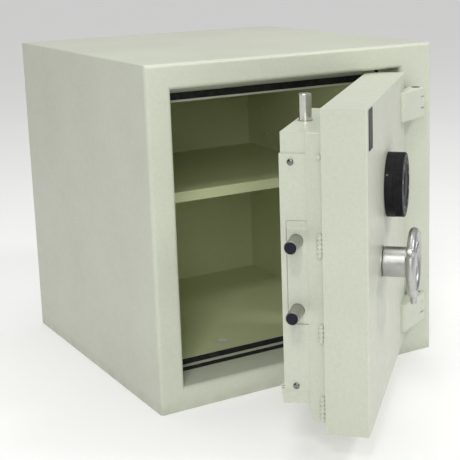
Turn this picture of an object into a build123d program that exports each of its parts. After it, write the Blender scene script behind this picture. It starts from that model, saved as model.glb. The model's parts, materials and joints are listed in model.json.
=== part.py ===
from build123d import *
from math import acos, asin, atan2, cos, degrees, hypot, pi, radians, sin, tan
import os

# A free-standing fire-resistant safe. Millimetres, +Z up, -Y the front, +X right.
# The origin is the centre of the cabinet's base on the floor. Depth runs inward
# from the cabinet's front plane. The door is drawn closed and then swung open
# about its hinge pins, which is the pose that the part rests in.

# Cabinet
WIDTH, DEPTH, HEIGHT = 555.0, 565.0, 570.0
SHEET = 3.0
BASE_SHEET = 4.0
CASING_ROUND, CASING_DEPTH_ROUND = 6.5, 3.0
HALF_WIDTH = WIDTH / 2
FRONT = -DEPTH / 2
JOIN = 1.0  # how far a cutting tool runs past the face that it opens

# Door opening and its stepped frame
OPEN_LEFT, OPEN_RIGHT, OPEN_BOTTOM, OPEN_TOP = -233.5, 208.5, 39.5, 529.0
OPENING_ROUND = 7.0
FRAME_OVER = 16.0
REBATE_DEPTH = 68.0
RISER = 6.3
LEDGE_DEPTH = 82.0
FRAME_DEPTH = 86.5
LIP_TOP = 497.0
MITRE = 60.0

# Liner (inside faces), its sheet and the filling behind it
LINER_LEFT, LINER_RIGHT, LINER_FLOOR, LINER_CEILING = -222.5, 188.0, 54.5, 500.0
LINER_BACK = 228.0
LINER_SHEET = 1.5

# Seals
OUTER_SEAL_FRONT = 66.5
INNER_SEAL_PROUD = 3.0
INNER_SEAL_TOP = 512.5
INNER_SEAL_HOLE = (-224.0, 192.2, 54.5, 501.0)

# Floor anchor, shelf and clip holes
ANCHOR_X, ANCHOR_Y = -99.0, -162.0
ANCHOR_RADIUS, ANCHOR_SLEEVE_RADIUS = 9.0, 13.5
ANCHOR_SEAT_RADIUS, ANCHOR_SEAT_Z = 12.1, 48.0
ANCHOR_CAP_RADIUS, ANCHOR_CAP_ZS = 12.0, (50.0, 53.4)
SHELF_TOP, SHELF_FRONT, SHELF_BACK = 328.0, -125.0, 226.0
SHELF_LIP, SHELF_SHEET, SHELF_GAP = 18.0, 1.5, 1.0
CLIP_YS = (-80.0, 163.0)
CLIP_RADIUS, CLIP_REACH, CLIP_LENGTH, CLIP_HEIGHT, CLIP_WALL = 3.0, 4.0, 12.0, 6.0, 6.0
CLIP_HOLE_ZS = (196.0, 249.0, 357.0, 410.0)
SLOT_GAP, SLOT_LEAD = 0.6, 2.5

# Hinges
PIN_X, PIN_OUT = 229.0, 17.0
PIN_RADIUS, PIN_BORE_RADIUS = 8.0, 8.05
KNUCKLE_RADIUS = 15.5
BLOCK_BOTTOMS = {"lower": 72.0, "upper": 445.5}
BLOCK_HEIGHT = 50.0
BLOCK_TOE_X, BLOCK_HEEL_X, BLOCK_TOE_RISE = 145.5, 152.5, 9.0
BLOCK_CLEAR = 1.5
SLOT_HALF, SLOT_RADIUS = 11.0, 17.0
LUG_HALF = 9.0
WASHER_THICKNESS, WASHER_BORE_RADIUS, WASHER_RADIUS = 1.8, 8.2, 14.5
PIN_RECESS = 9.0
BLOCK_ROUND, LUG_ROUND = 2.0, 1.5
REST_OPEN_DEG = 46.0

# Door slab
SLAB_LEFT, SLAB_RIGHT, SLAB_BOTTOM, SLAB_TOP = -229.0, 205.5, 43.0, 524.0
SLAB_DEPTH, SLAB_BEVEL, SLAB_ROUND = 66.0, 3.0, 3.0
FACE_SHEET, SLAB_SHEET, BACK_SHEET = 6.0, 4.0, 3.0

# Step on the back of the slab
STEP_DEPTH = 91.5
STEP_LEFT_FRONT, STEP_LEFT_REAR, STEP_RIGHT = -216.0, -210.0, 183.5
STEP_BOTTOM, STEP_TOP, STEP_LOW_TOP, STEP_NOTCH_X = 56.5, 488.0, 455.0, 20.0
STEP_CHAMFER_DEPTH, STEP_CHAMFER_HEIGHT = 5.5, 22.0
STEP_TOP_ROUND = 3.0
SLEEVE_GAP = 0.05
WELD_LEG, WELD_SPANS = 4.0, ((58, 97), (179, 208), (306, 344), (450, 458))

# Bolt box on the step, and the plates on its leading side
BOX_LEFT, BOX_RIGHT, BOX_BOTTOM, BOX_TOP, BOX_DEPTH = -207.0, 20.0, 81.0, 488.0, 128.0
BOX_CHAMFER_DEPTH, BOX_CHAMFER_HEIGHT = 4.0, 20.0
COVER_SHEET = 2.0
FOOT_RIM_DEPTH, FOOT_TOP, FOOT_BASE_DEPTH, FOOT_BOTTOM = 136.0, 109.0, 132.5, 79.0
FOOT_SLOT_ZS, FOOT_SLOT_LENGTH, FOOT_SLOT_HEIGHT = (102.5, 106.0), 9.0, 1.2
POST_INSET, POST_RADIUS = 10.0, 5.0
EDGE_SHEET, EDGE_BOTTOM, EDGE_TOP, EDGE_RETURN = 2.0, 101.5, 457.2, 17.0
WINDOW_BOTTOM, WINDOW_TOP, WINDOW_DEPTH = 204.5, 360.5, 122.0
GUIDE_PLATE_GAP, GUIDE_PLATE_SLOPE_ZS = 1.2, (347.0, 350.5)
GUIDE_PLATE_THIN, GUIDE_PLATE_THICK = 0.3, 1.7
COLLAR_RADIUS, COLLAR_HEIGHT = 11.6, 0.6

# Screws: depth and z of the edge plate's, then head radius, head height, shank radius
EDGE_SCREWS = ((112.0, 108.8), (113.4, 445.0))
EDGE_SCREW, COVER_SCREW, DOG_SCREW = (4.8, 2.2, 1.8), (4.5, 2.5, 2.0), (5.0, 3.0, 3.0)
EDGE_HEAD_ROUND, COVER_SCREW_LENGTH = 1.6, 10.0
BOLT_SCREW_RADIUS, BOLT_SCREW_INSET, BOLT_SCREW_OVER = 3.0, 10.0, 7.0

# Bolts: radius, thrown reach, and the depth and height of each
BOLT_RADIUS, BOLT_BORE_RADIUS, BOLT_HOLE_RADIUS = 10.0, 10.06, 10.4
SIDE_BOLT_DEPTH, SIDE_BOLT_ZS, SIDE_BOLT_REACH, SIDE_BOLT_END = 107.4, (225.5, 329.7), 41.0, -168.0
TOP_BOLT_X, TOP_BOLT_DEPTH, TOP_BOLT_TIP, TOP_BOLT_END = -104.0, 112.0, 528.5, 410.0
FLAT_LENGTH = 22.5
BOLT_TIP_CHAMFER = 1.2
POCKET_RADIUS, KEEPER_HALF, KEEPER_DEPTH = 11.5, 17.0, 32.0

# Bored bars that guide the bolts inside the box
SIDE_GUIDE_ZS, SIDE_GUIDE_WIDTH, GUIDE_OVER = (210.0, 350.0), 14.0, 12.0
TOP_GUIDE_HALF, TOP_GUIDE_ZS = 15.0, (440.0, 458.0)
RAIL_END, RAIL_GAP, RAIL_HEIGHT = -128.0, 0.5, 7.5

# Boltwork: two layers of plate behind the step, driven by one pinion
HANDLE_X, HANDLE_Z = -89.0, 269.5
LAYER_A, LAYER_B = (96.5, 102.0), (104.0, 110.0)
MODULE, TEETH, PRESSURE_DEG = 2.5, 18, 20.0
PITCH_RADIUS = MODULE * TEETH / 2
TOOTH_RISE, TOOTH_FALL = 0.95 * MODULE, 1.29 * MODULE
PINION_BACKLASH, RACK_BACKLASH = 0.3, 0.1
PINION_DEPTHS = (96.2, 110.4)
RACK_TEETH = 8
STROKE = PITCH_RADIUS * pi / 2
CARRIAGE_LEFT, CARRIAGE_RIGHT, CARRIAGE_BOTTOM, CARRIAGE_TOP = -188.0, -166.0, 213.0, 346.0
ARM_BOTTOM, ARM_END, ARM_LAP = 226.0, -73.0, 2.0
RACK_WEB, RACK_OVERRUN, WEB_WIDE_Z = 12.3, 16.0, 330.0

# Combination lock
DIAL_X, DIAL_Z = -15.5, 374.0
DIAL_RADIUS, DIAL_RING_HEIGHT, DIAL_HEIGHT, KNOB_RADIUS = 51.0, 13.0, 28.0, 50.8
DIAL_SPINDLE_RADIUS, DIAL_SLEEVE_RADIUS, DIAL_SPINDLE_END = 4.0, 7.0, 117.5
BOSS_RADIUS, BOSS_BORE_RADIUS, DIAL_GAP, DIAL_SPINDLE_REACH = 18.0, 18.5, 0.4, 20.0
CASE_SHEET, CASE_GAP = 2.0, 0.4
CASE_LEFT, CASE_RIGHT, CASE_BOTTOM, CASE_TOP, CASE_DEPTH = -46.0, 15.0, 330.0, 415.0, 120.0
WHEEL_RADIUS, WHEEL_THICKNESS, WHEEL_DEPTHS = 21.0, 2.5, (104.0, 107.5, 111.0, 114.5)
GATE_WIDTH, GATE_DEPTH, GATE_TURN_DEG = 5.0, 4.0, 70.0
LOCK_X, LOCK_HALF, LOCK_BOTTOM, LOCK_TOP, LOCK_LIFT = -30.0, 10.0, 320.0, 350.0, 10.0
ROLLER_RADIUS, ROLLER_GAP = 4.0, 0.3
RAMP_Z, RAMP_ARM_BOTTOM, RAMP_END, RAMP_RUN_OUT = 306.0, 298.0, -24.0, 2.0
RAMP_SLOPE = LOCK_LIFT / STROKE
RELOCKER_BOX = (-20.0, 10.0, 16.0, 432.0, 456.0)
RELOCKER_PIN_X, RELOCKER_PIN_OUT, RELOCKER_PIN_RADIUS, RELOCKER_PIN_BOTTOM = -5.0, 8.0, 4.0, 422.0

# Handwheel
SPINDLE_RADIUS, SLEEVE_RADIUS = 8.0, 11.0
HUB_RADIUS, HUB_FOOT, HUB_HEIGHT, WHEEL_HEIGHT = 23.5, 2.3, 40.0, 48.0
NOSE_RADIUS, NOSE_OVER = 18.0, 4.0
SPINDLE_END, SPINDLE_DEPTH = 30.0, 116.0
RIM_RADIUS, RIM_TUBE, LUG_REACH, SPOKE_RADIUS = 46.6, 7.0, 66.0, 5.5
SPOKE_TURNS_DEG = (-90, 30, 150)
HANDLE_COLLAR_RADIUS, HANDLE_COLLAR_HEIGHT = 24.5, 2.0
RETAINER_RADIUS, RETAINER_GAP, RETAINER_THICKNESS = 12.5, 0.2, 2.0

# Blank name plate: left and right of it from the slab's edge, low and high z, thickness, corner
PLATE_FROM, PLATE_TO, PLATE_ZS, PLATE_THICKNESS, PLATE_CORNER = 12.0, 46.0, (463.0, 521.0), 0.8, 3.0

# Fixed dog bars on the hinge side
DOG_ZS, DOG_LEFT, DOG_TIP, DOG_HALF, DOG_THICKNESS = (150.0, 400.0), 150.0, 193.0, 15.0, 10.0
DOG_CHAMFER, DOG_SCREW_XS, DOG_SLOT_OVER = 2.0, (159.0, 175.0), 2.0


def block(x0, x1, d0, d1, z0, z1):
    """A box between two x, two depths and two z."""
    middle = Pos((x0 + x1) / 2, FRONT + (d0 + d1) / 2, (z0 + z1) / 2)
    return middle * Box(x1 - x0, d1 - d0, z1 - z0)


def rod_x(x0, x1, depth, z, radius):
    turn = Pos((x0 + x1) / 2, FRONT + depth, z) * Rot(0, 90, 0)
    return turn * Cylinder(radius, x1 - x0)


def rod_y(x, z, d0, d1, radius):
    turn = Pos(x, FRONT + (d0 + d1) / 2, z) * Rot(90, 0, 0)
    return turn * Cylinder(radius, d1 - d0)


def rod_z(x, depth, z0, z1, radius):
    return Pos(x, FRONT + depth, (z0 + z1) / 2) * Cylinder(radius, z1 - z0)


def ring_y(x, z, d0, d1, outer, inner):
    return rod_y(x, z, d0, d1, outer) - rod_y(x, z, d0 - JOIN, d1 + JOIN, inner)


def prism_xz(points, d0, d1):
    """A flat outline in x and z, from depth d0 to depth d1."""
    outline = Polyline([(x, FRONT + d0, z) for x, z in points], close=True)
    return extrude(make_face(outline), amount=d1 - d0, dir=(0, 1, 0))


def prism_xd(points, z0, z1):
    """A flat outline in x and depth, from z0 to z1."""
    outline = Polyline([(x, FRONT + d, z0) for x, d in points], close=True)
    return extrude(make_face(outline), amount=z1 - z0, dir=(0, 0, 1))


def prism_dz(points, x0, x1):
    """A flat outline in depth and z, from x0 to x1."""
    outline = Polyline([(x0, FRONT + d, z) for d, z in points], close=True)
    return extrude(make_face(outline), amount=x1 - x0, dir=(1, 0, 0))


def group(shapes):
    """Separate solids kept in one node."""
    return Compound([solid for shape in shapes for solid in shape.solids()])


def swing(shape):
    """Turns a shape of the closed door to the pose that the door rests in."""
    pin = (PIN_X, FRONT - PIN_OUT, 0)
    return Pos(*pin) * Rot(0, 0, REST_OPEN_DEG) * Pos(*(-v for v in pin)) * shape


# ---------------------------------------------------------------- cabinet


def frame_envelope(depth_margin=0.0):
    return block(
        OPEN_LEFT - FRAME_OVER, OPEN_RIGHT + FRAME_OVER, -depth_margin, FRAME_DEPTH,
        OPEN_BOTTOM - FRAME_OVER, OPEN_TOP + FRAME_OVER,
    )


def outer_casing():
    """Folded wrapper: top, two sides, and returns round the front opening."""
    body = block(-HALF_WIDTH, HALF_WIDTH, 0, DEPTH, 0, HEIGHT)
    along = body.edges().filter_by(Axis.Y).sort_by(Axis.Z)[-2:]
    body = fillet(along, CASING_DEPTH_ROUND)
    front = body.faces().sort_by(Axis.Y)[0]
    rim = front.outer_wire().edges().sort_by(Axis.Z)[1:]
    body = fillet(rim, CASING_ROUND)
    inside = block(
        SHEET - HALF_WIDTH, HALF_WIDTH - SHEET, SHEET, DEPTH + JOIN, -JOIN, HEIGHT - SHEET
    )
    return body - inside - frame_envelope(JOIN)


def back_plate():
    return block(SHEET - HALF_WIDTH, HALF_WIDTH - SHEET, DEPTH - SHEET, DEPTH, 0, HEIGHT - SHEET)


def base_plate():
    plate = block(SHEET - HALF_WIDTH, HALF_WIDTH - SHEET, SHEET, DEPTH - SHEET, 0, BASE_SHEET)
    return plate - anchor_cylinder(ANCHOR_SLEEVE_RADIUS)


def anchor_cylinder(radius):
    return rod_z(ANCHOR_X, ANCHOR_Y - FRONT, -JOIN, LINER_FLOOR + JOIN, radius)


def anchor_sleeve():
    """Bored sleeve with a wider seat on top for its cap."""
    depth = ANCHOR_Y - FRONT
    wall = rod_z(ANCHOR_X, depth, 0, LINER_FLOOR, ANCHOR_SLEEVE_RADIUS)
    seat = rod_z(ANCHOR_X, depth, ANCHOR_SEAT_Z, LINER_FLOOR + JOIN, ANCHOR_SEAT_RADIUS)
    return wall - anchor_cylinder(ANCHOR_RADIUS) - seat


def anchor_cap():
    cap = rod_z(ANCHOR_X, ANCHOR_Y - FRONT, *ANCHOR_CAP_ZS, ANCHOR_CAP_RADIUS)
    return fillet(cap.edges().sort_by(Axis.Z)[-1], JOIN)


def frame_ring():
    """The stepped frame in one piece, before it is cut into mitred bars."""
    rebate = block(OPEN_LEFT, OPEN_RIGHT, -JOIN, REBATE_DEPTH, OPEN_BOTTOM, OPEN_TOP)
    ledge = block(
        OPEN_LEFT + RISER, OPEN_RIGHT - RISER, -JOIN, LEDGE_DEPTH,
        OPEN_BOTTOM + RISER, OPEN_TOP - RISER,
    )
    throat = block(LINER_LEFT, LINER_RIGHT, -JOIN, FRAME_DEPTH + JOIN, LINER_FLOOR, LIP_TOP)
    ring = frame_envelope() - rebate - ledge - throat
    front = ring.faces().sort_by(Axis.Y)[0]
    return fillet(front.inner_wires()[0].edges(), OPENING_ROUND)


def frame_bars():
    """Left, right, top and bottom bars, mitred at the corners of the frame."""
    ring = frame_ring()
    x0, x1 = OPEN_LEFT - FRAME_OVER, OPEN_RIGHT + FRAME_OVER
    z0, z1 = OPEN_BOTTOM - FRAME_OVER, OPEN_TOP + FRAME_OVER
    outer = {"bl": (x0, z0), "br": (x1, z0), "tr": (x1, z1), "tl": (x0, z1)}
    inner = {
        "bl": (x0 + MITRE, z0 + MITRE), "br": (x1 - MITRE, z0 + MITRE),
        "tr": (x1 - MITRE, z1 - MITRE), "tl": (x0 + MITRE, z1 - MITRE),
    }
    ends = {
        "frame_left": ("bl", "tl"), "frame_right": ("tr", "br"),
        "frame_top": ("tl", "tr"), "frame_bottom": ("br", "bl"),
    }
    bars = {}
    for name, (start, end) in ends.items():
        wedge = [outer[start], outer[end], inner[end], inner[start]]
        bars[name] = ring & prism_xz(wedge, -JOIN, FRAME_DEPTH + JOIN)
    return bars


def bolt_pockets(radius, reach):
    """The holes that the thrown bolts enter, from inside the liner outwards."""
    tools = []
    for z in SIDE_BOLT_ZS:
        tools.append(rod_x(LINER_LEFT - reach, LINER_LEFT + JOIN, SIDE_BOLT_DEPTH, z, radius))
    top_end = LINER_CEILING + reach
    tools.append(rod_z(TOP_BOLT_X, TOP_BOLT_DEPTH, LINER_CEILING - JOIN, top_end, radius))
    return tools


def keeper_blocks():
    """Solid blocks behind the liner, one round each bolt pocket."""
    left, top = LINER_LEFT - LINER_SHEET, LINER_CEILING + LINER_SHEET
    half, x, depth = KEEPER_HALF, TOP_BOLT_X, TOP_BOLT_DEPTH
    side_d = (SIDE_BOLT_DEPTH - half, SIDE_BOLT_DEPTH + half)
    blocks = [block(left - KEEPER_DEPTH, left, *side_d, z - half, z + half) for z in SIDE_BOLT_ZS]
    blocks.append(block(x - half, x + half, depth - half, depth + half, top, top + KEEPER_DEPTH))
    return blocks


def bolt_keepers():
    cutters = bolt_pockets(POCKET_RADIUS, LINER_SHEET + KEEPER_DEPTH - SHEET)
    return group([keeper - cutters for keeper in keeper_blocks()])


def clip_points():
    """Where the clip holes are in each side wall, as depth and z."""
    clip_z = SHELF_TOP - SHELF_LIP - CLIP_HEIGHT / 2
    points = [(y - FRONT, clip_z) for y in CLIP_YS]
    points += [(CLIP_YS[1] - FRONT, z) for z in CLIP_HOLE_ZS]
    return points


def clip_holes():
    left, right = LINER_LEFT, LINER_RIGHT
    reach = LINER_SHEET + CLIP_REACH
    tools = []
    for depth, z in clip_points():
        tools.append(rod_x(left - reach, left + JOIN, depth, z, CLIP_RADIUS))
        tools.append(rod_x(right - JOIN, right + reach, depth, z, CLIP_RADIUS))
    return tools


def dog_slots():
    """Pockets in the hinge-side wall for the tips of the dog bars."""
    d0, d1 = STEP_DEPTH - SLOT_LEAD, STEP_DEPTH + DOG_THICKNESS + SLOT_GAP
    half = DOG_HALF + SLOT_GAP
    x0, x1 = LINER_RIGHT - JOIN, DOG_TIP + DOG_SLOT_OVER
    return [block(x0, x1, d0, d1, z - half, z + half) for z in DOG_ZS]


def inner_liner():
    sheet = LINER_SHEET
    back = LINER_BACK - FRONT
    shell = block(
        LINER_LEFT - sheet, LINER_RIGHT + sheet, FRAME_DEPTH, back + sheet,
        LINER_FLOOR - sheet, LINER_CEILING + sheet,
    )
    room = block(
        LINER_LEFT, LINER_RIGHT, FRAME_DEPTH - JOIN, back, LINER_FLOOR, LINER_CEILING
    )
    openings = bolt_pockets(POCKET_RADIUS, LINER_SHEET + JOIN) + clip_holes() + dog_slots()
    return shell - room - openings - anchor_cylinder(ANCHOR_SLEEVE_RADIUS)


def fillings():
    """Cast filling between casing and liner, as five blocks round the room."""
    left, right = LINER_LEFT - LINER_SHEET, LINER_RIGHT + LINER_SHEET
    low, top = LINER_FLOOR - LINER_SHEET, LINER_CEILING + LINER_SHEET
    rear = LINER_BACK + LINER_SHEET - FRONT
    d0, d1 = SHEET, DEPTH - SHEET
    z0, z1 = BASE_SHEET, HEIGHT - SHEET
    x0, x1 = SHEET - HALF_WIDTH, HALF_WIDTH - SHEET
    blocks = {
        "fill_left": block(x0, left, d0, d1, z0, z1),
        "fill_right": block(right, x1, d0, d1, z0, z1),
        "fill_top": block(left, right, d0, d1, top, z1),
        "fill_bottom": block(left, right, d0, d1, z0, low),
        "fill_back": block(left, right, rear, d1, low, top),
    }
    cutters = keeper_blocks() + clip_holes() + dog_slots()
    cutters += [frame_envelope(JOIN), anchor_cylinder(ANCHOR_SLEEVE_RADIUS)]
    return {name: shape - cutters for name, shape in blocks.items()}


def outer_seal():
    strip = block(
        OPEN_LEFT, OPEN_RIGHT, OUTER_SEAL_FRONT, REBATE_DEPTH, OPEN_BOTTOM, OPEN_TOP
    )
    hole = block(
        OPEN_LEFT + RISER, OPEN_RIGHT - RISER, OUTER_SEAL_FRONT - JOIN, REBATE_DEPTH + JOIN,
        OPEN_BOTTOM + RISER, OPEN_TOP - RISER,
    )
    return strip - hole


def inner_seal():
    front = LEDGE_DEPTH - INNER_SEAL_PROUD
    x0, x1, z0, z1 = INNER_SEAL_HOLE
    strip = block(
        OPEN_LEFT + RISER, OPEN_RIGHT - RISER, front, LEDGE_DEPTH,
        OPEN_BOTTOM + RISER, INNER_SEAL_TOP,
    )
    return strip - block(x0, x1, front - JOIN, LEDGE_DEPTH + JOIN, z0, z1)


def shelf():
    x0, x1 = LINER_LEFT + SHELF_GAP, LINER_RIGHT - SHELF_GAP
    d0, d1 = SHELF_FRONT - FRONT, SHELF_BACK - FRONT
    z0, t = SHELF_TOP - SHELF_LIP, SHELF_SHEET
    tray = block(x0, x1, d0, d1, z0, SHELF_TOP)
    tray = fillet(tray.edges().group_by(Axis.Z)[-1].sort_by(Axis.Y)[0], 2 * t / 3)
    return tray - block(x0 + t, x1 - t, d0 + t, d1 - t, z0 - JOIN, SHELF_TOP - t)


def shelf_clips():
    """A small block under each corner of the shelf, with a stud in the wall."""
    z = SHELF_TOP - SHELF_LIP - CLIP_HEIGHT / 2
    reach = LINER_SHEET + CLIP_REACH
    clips = []
    for y in CLIP_YS:
        depth = y - FRONT
        d0, d1 = depth - CLIP_LENGTH / 2, depth + CLIP_LENGTH / 2
        z0, z1 = z - CLIP_HEIGHT / 2, z + CLIP_HEIGHT / 2
        left = block(LINER_LEFT, LINER_LEFT + CLIP_WALL, d0, d1, z0, z1)
        right = block(LINER_RIGHT - CLIP_WALL, LINER_RIGHT, d0, d1, z0, z1)
        clips.append(left + rod_x(LINER_LEFT - reach, LINER_LEFT, depth, z, CLIP_RADIUS))
        clips.append(right + rod_x(LINER_RIGHT, LINER_RIGHT + reach, depth, z, CLIP_RADIUS))
    return group(clips)


# ---------------------------------------------------------------- hinges


def block_middle(side):
    return BLOCK_BOTTOMS[side] + BLOCK_HEIGHT / 2


def hinge_block(side):
    """Wedge on the door's face that grows into a knuckle round the pin."""
    z0 = BLOCK_BOTTOMS[side]
    pin_y = FRONT - PIN_OUT
    heel = (BLOCK_HEEL_X, FRONT - BLOCK_TOE_RISE)
    span = hypot(PIN_X - heel[0], PIN_OUT - BLOCK_TOE_RISE)
    climb = atan2(PIN_OUT - BLOCK_TOE_RISE, PIN_X - heel[0]) + asin(KNUCKLE_RADIUS / span)
    start = -90 - degrees(climb)
    touch = (PIN_X - KNUCKLE_RADIUS * sin(climb), pin_y - KNUCKLE_RADIUS * cos(climb))
    toe = (BLOCK_TOE_X, FRONT)
    bend = (BLOCK_TOE_X + 1.4, FRONT - 0.65 * BLOCK_TOE_RISE)
    under = (PIN_X, pin_y + KNUCKLE_RADIUS)
    clear = (SLAB_RIGHT + BLOCK_CLEAR, under[1])
    edges = [
        ThreePointArc(toe, bend, heel),
        Line(heel, touch),
        CenterArc((PIN_X, pin_y), KNUCKLE_RADIUS, start, 90 - start),
        Line(under, clear),
        Line(clear, (SLAB_RIGHT, FRONT)),
        Line((SLAB_RIGHT, FRONT), toe),
    ]
    shape = Pos(0, 0, z0) * extrude(make_face(Wire(edges)), amount=BLOCK_HEIGHT, dir=(0, 0, 1))
    middle = block_middle(side)
    z_slot = (middle - SLOT_HALF, middle + SLOT_HALF)
    depth = -PIN_OUT
    far = 2 * SLOT_RADIUS
    slot = block(PIN_X - SLOT_RADIUS, PIN_X + far, depth - far, depth + far, *z_slot)
    slot += rod_z(PIN_X, depth, *z_slot, SLOT_RADIUS)
    bore = rod_z(PIN_X, depth, z0 - JOIN, z0 + BLOCK_HEIGHT + JOIN, PIN_BORE_RADIUS)
    return round_rims(shape, BLOCK_ROUND) - slot - bore


def round_rims(shape, radius):
    """Rounds the top and bottom outlines of a hinge piece, clear of the cabinet's front."""
    level = shape.edges().filter_by(Axis.Z, reverse=True)
    return fillet([edge for edge in level if edge.center().Y < FRONT - 2 * radius], radius)


def hinge_lug(side):
    """Eye on the cabinet's front that holds the pin in the block's slot."""
    middle = block_middle(side)
    z0, z1 = middle - LUG_HALF, middle + LUG_HALF
    foot = block(PIN_X - KNUCKLE_RADIUS, PIN_X + KNUCKLE_RADIUS, -PIN_OUT, 0, z0, z1)
    eye = round_rims(foot + rod_z(PIN_X, -PIN_OUT, z0, z1, KNUCKLE_RADIUS), LUG_ROUND)
    return eye - rod_z(PIN_X, -PIN_OUT, z0 - JOIN, z1 + JOIN, PIN_RADIUS)


def hinge_pins():
    pins = []
    for z0 in BLOCK_BOTTOMS.values():
        pin = rod_z(PIN_X, -PIN_OUT, z0 + PIN_RECESS, z0 + BLOCK_HEIGHT - PIN_RECESS, PIN_RADIUS)
        pins.append(chamfer(pin.edges().filter_by(GeomType.CIRCLE), 1.0))
    return group(pins)


def hinge_washers():
    washers = []
    for side in BLOCK_BOTTOMS:
        middle = block_middle(side)
        for z0 in (middle + LUG_HALF, middle - LUG_HALF - WASHER_THICKNESS):
            z1 = z0 + WASHER_THICKNESS
            ring = rod_z(PIN_X, -PIN_OUT, z0, z1, WASHER_RADIUS)
            washers.append(ring - rod_z(PIN_X, -PIN_OUT, z0 - JOIN, z1 + JOIN, WASHER_BORE_RADIUS))
    return group(washers)


# ---------------------------------------------------------------- door


def sleeve_holes(handle_radius, dial_radius):
    """The two ways through the door for the handle and dial spindles."""
    far = STEP_DEPTH + JOIN
    return [
        rod_y(HANDLE_X, HANDLE_Z, -JOIN, far, handle_radius),
        rod_y(DIAL_X, DIAL_Z, -JOIN, far, dial_radius),
    ]


def slab_edge(depth):
    """x of the slab's bevelled leading face at a depth."""
    return SLAB_LEFT + SLAB_BEVEL * depth / SLAB_DEPTH


def slab_room(d0, d1):
    t = SLAB_SHEET
    plan = [
        (slab_edge(d0) + t, d0), (SLAB_RIGHT - t, d0), (SLAB_RIGHT - t, d1), (slab_edge(d1) + t, d1)
    ]
    return prism_xd(plan, SLAB_BOTTOM + t, SLAB_TOP - t)


def door_pan():
    plan = [
        (SLAB_LEFT, 0), (SLAB_RIGHT, 0), (SLAB_RIGHT, SLAB_DEPTH), (slab_edge(SLAB_DEPTH), SLAB_DEPTH)
    ]
    slab = prism_xd(plan, SLAB_BOTTOM, SLAB_TOP)
    slab = fillet(slab.faces().sort_by(Axis.Y)[0].edges(), SLAB_ROUND)
    room = slab_room(FACE_SHEET, SLAB_DEPTH + JOIN)
    return slab - room - sleeve_holes(SLEEVE_RADIUS, DIAL_SLEEVE_RADIUS)


def door_infill():
    room = slab_room(FACE_SHEET, SLAB_DEPTH - BACK_SHEET)
    return room - sleeve_holes(SLEEVE_RADIUS, DIAL_SLEEVE_RADIUS)


def door_back_plate():
    plate = slab_room(SLAB_DEPTH - BACK_SHEET, SLAB_DEPTH)
    return plate - sleeve_holes(SLEEVE_RADIUS, DIAL_SLEEVE_RADIUS)


def step_edge(depth):
    """x of the step's bevelled leading face at a depth."""
    run = (depth - SLAB_DEPTH) / (STEP_DEPTH - SLAB_DEPTH)
    return STEP_LEFT_FRONT + (STEP_LEFT_REAR - STEP_LEFT_FRONT) * run


def step_shape(wall, front):
    """The step, or the room inside its walls, from a given front depth."""
    rear = STEP_DEPTH - wall
    left = step_edge(front) + wall
    left_rear = step_edge(rear) + wall
    right, low = STEP_RIGHT - wall, STEP_BOTTOM + wall
    notch = STEP_NOTCH_X - wall
    plan = [(left, front), (right, front), (right, rear), (left_rear, rear)]
    side = [
        (front, low), (rear - STEP_CHAMFER_DEPTH, low), (rear, low + STEP_CHAMFER_HEIGHT),
        (rear, HEIGHT), (front, HEIGHT),
    ]
    face = [
        (left, low), (right, low), (right, STEP_LOW_TOP - wall), (notch, STEP_LOW_TOP - wall),
        (notch, STEP_TOP - wall), (left, STEP_TOP - wall),
    ]
    return prism_xd(plan, 0, HEIGHT) & prism_dz(side, left, right) & prism_xz(face, front, rear)


def step_pan():
    room = step_shape(BACK_SHEET, SLAB_DEPTH - JOIN)
    solid = step_shape(0, SLAB_DEPTH)
    top = solid.faces().sort_by(Axis.Z)[-1]
    solid = fillet(top.edges().sort_by(Axis.X)[0], STEP_TOP_ROUND)
    return solid - room - sleeve_holes(SLEEVE_RADIUS, DIAL_SLEEVE_RADIUS)


def step_infill():
    room = step_shape(BACK_SHEET, SLAB_DEPTH)
    return room - sleeve_holes(SLEEVE_RADIUS, DIAL_SLEEVE_RADIUS)


def spindle_sleeves():
    handle_bore, dial_bore = SPINDLE_RADIUS + SLEEVE_GAP, DIAL_SPINDLE_RADIUS + SLEEVE_GAP
    handle = ring_y(HANDLE_X, HANDLE_Z, 0, STEP_DEPTH, SLEEVE_RADIUS, handle_bore)
    dial = ring_y(DIAL_X, DIAL_Z, 0, STEP_DEPTH, DIAL_SLEEVE_RADIUS, dial_bore)
    return group([handle, dial])


def bolt_rods(radius, over=0.0):
    """Straight rods where the three bolts run, for the bolts and their holes."""
    tip_x = BOX_LEFT - SIDE_BOLT_REACH
    side = [
        rod_x(tip_x - over, SIDE_BOLT_END + over, SIDE_BOLT_DEPTH, z, radius) for z in SIDE_BOLT_ZS
    ]
    top = rod_z(TOP_BOLT_X, TOP_BOLT_DEPTH, TOP_BOLT_END - over, TOP_BOLT_TIP + over, radius)
    return side + [top]


def bolt_box():
    """Open-backed sheet box that houses the boltwork."""
    t = SHEET
    low, top, rear = BOX_BOTTOM, BOX_TOP, BOX_DEPTH
    slope_d, slope_z = BOX_CHAMFER_DEPTH, BOX_CHAMFER_HEIGHT
    outside = [
        (STEP_DEPTH, low), (rear - slope_d, low), (rear, low + slope_z), (rear, top),
        (STEP_DEPTH, top),
    ]
    inside = [
        (STEP_DEPTH - JOIN, low + t), (rear - slope_d - t, low + t), (rear - t, low + slope_z),
        (rear + JOIN, low + slope_z), (rear + JOIN, top - t), (STEP_DEPTH - JOIN, top - t),
    ]
    shell = prism_dz(outside, BOX_LEFT, BOX_RIGHT)
    room = prism_dz(inside, BOX_LEFT + t, BOX_RIGHT - t)
    return shell - room - bolt_rods(BOLT_HOLE_RADIUS) - edge_screw_cutters()


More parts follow.
